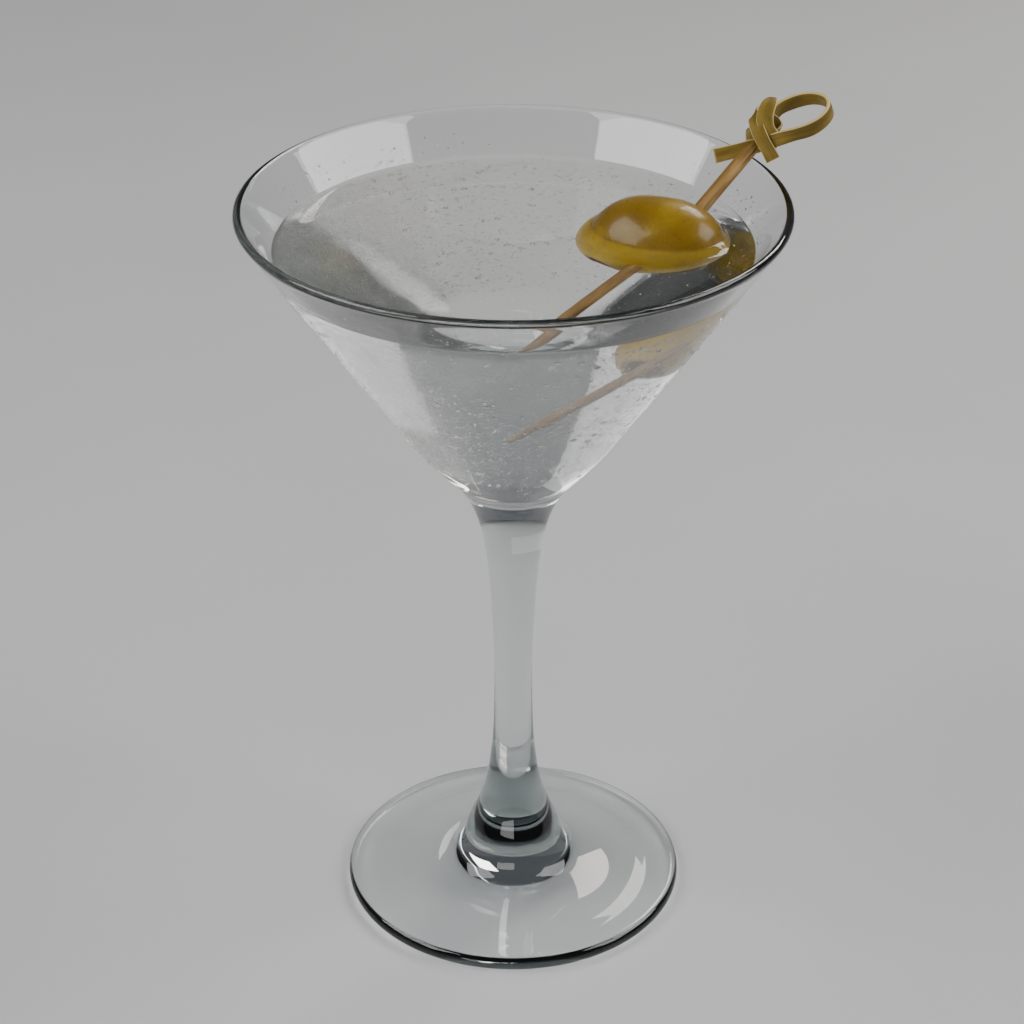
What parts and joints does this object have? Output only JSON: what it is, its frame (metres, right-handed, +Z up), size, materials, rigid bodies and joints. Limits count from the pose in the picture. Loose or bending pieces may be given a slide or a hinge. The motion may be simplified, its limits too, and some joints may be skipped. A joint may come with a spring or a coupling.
{
  "type": "martini cocktail",
  "caption": "Stemmed cone glass of clear martini with an olive on a knotted bamboo pick leaning in the drink.",
  "frame": {"origin": "on the glass's axis, at the plane of the foot's contact ring", "axes": "+Z up along the stem, +X towards the side that the pick's loop leans over, +Y away from the front"},
  "size_m": [0.122, 0.112, 0.1778],
  "materials": {
    "glass": "clear, polished, misted outside where the drink chills it",
    "drink": "clear, still, faintly straw-coloured",
    "olive": "wet golden-green olive skin",
    "bamboo": "split bamboo, satin, fine straight grain"
  },
  "bodies": {
    "root": {"glass": "glass", "drink": "drink", "olive": "olive", "cocktail_pick": "bamboo"}
  },
  "joints": []
}
